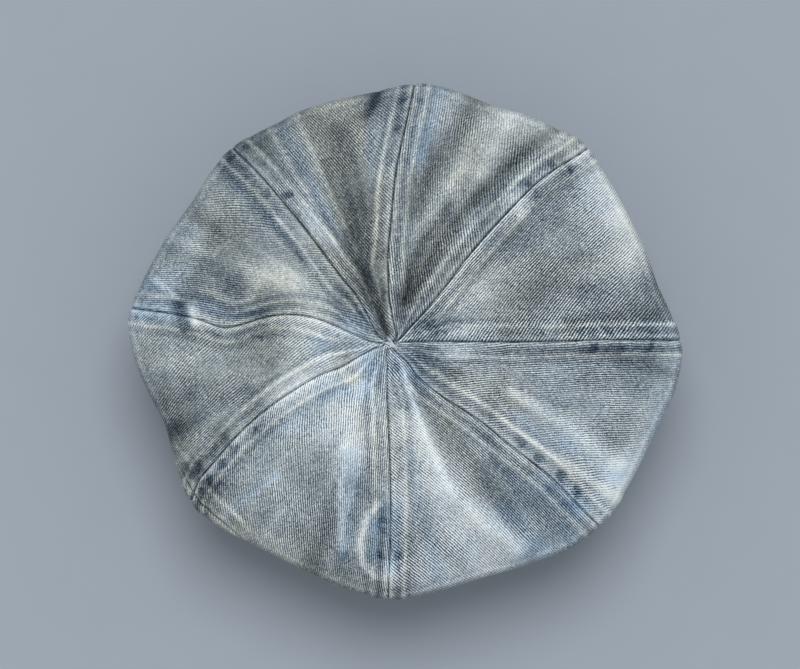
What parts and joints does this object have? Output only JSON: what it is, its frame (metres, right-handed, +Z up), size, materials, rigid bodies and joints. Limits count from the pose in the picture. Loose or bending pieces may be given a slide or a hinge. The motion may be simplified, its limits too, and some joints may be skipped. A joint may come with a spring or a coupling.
{
  "type": "panelled denim beret",
  "caption": "Soft panelled beret of washed denim with a wide flat crown, turned-in sides, lining and a head band.",
  "frame": {"origin": "centre of the crown's outline seen from above, on the surface that the head band stands on", "axes": "+Z up through the crown, +X to the front, +Y to the wearer's left"},
  "size_m": [0.2854, 0.266, 0.084],
  "materials": {
    "washed_denim": "stone-washed indigo twill, matt",
    "lining_cotton": "plain-weave cotton, matt",
    "sweatband_tape": "ribbed woven tape, matt",
    "stiffener": "stiff non-woven interlining",
    "thread": "twisted sewing thread",
    "label": "blank satin-woven label"
  },
  "bodies": {
    "root": {"top_panel_1": "washed_denim", "top_panel_2": "washed_denim", "top_panel_3": "washed_denim", "top_panel_4": "washed_denim", "top_panel_5": "washed_denim", "top_panel_6": "washed_denim", "top_panel_7": "washed_denim", "top_panel_8": "washed_denim", "side_panel_1": "washed_denim", "side_panel_2": "washed_denim", "side_panel_3": "washed_denim", "side_panel_4": "washed_denim", "side_panel_5": "washed_denim", "side_panel_6": "washed_denim", "side_panel_7": "washed_denim", "side_panel_8": "washed_denim", "head_band": "washed_denim", "lining_top_1": "lining_cotton", "lining_top_2": "lining_cotton", "lining_top_3": "lining_cotton", "lining_top_4": "lining_cotton", "lining_top_5": "lining_cotton", "lining_top_6": "lining_cotton", "lining_top_7": "lining_cotton", "lining_top_8": "lining_cotton", "lining_side_1": "lining_cotton", "lining_side_2": "lining_cotton", "lining_side_3": "lining_cotton", "lining_side_4": "lining_cotton", "lining_side_5": "lining_cotton", "lining_side_6": "lining_cotton", "lining_side_7": "lining_cotton", "lining_side_8": "lining_cotton", "band_stiffener": "stiffener", "sweatband": "sweatband_tape", "size_label": "label", "apex_tack": "thread"}
  },
  "joints": []
}
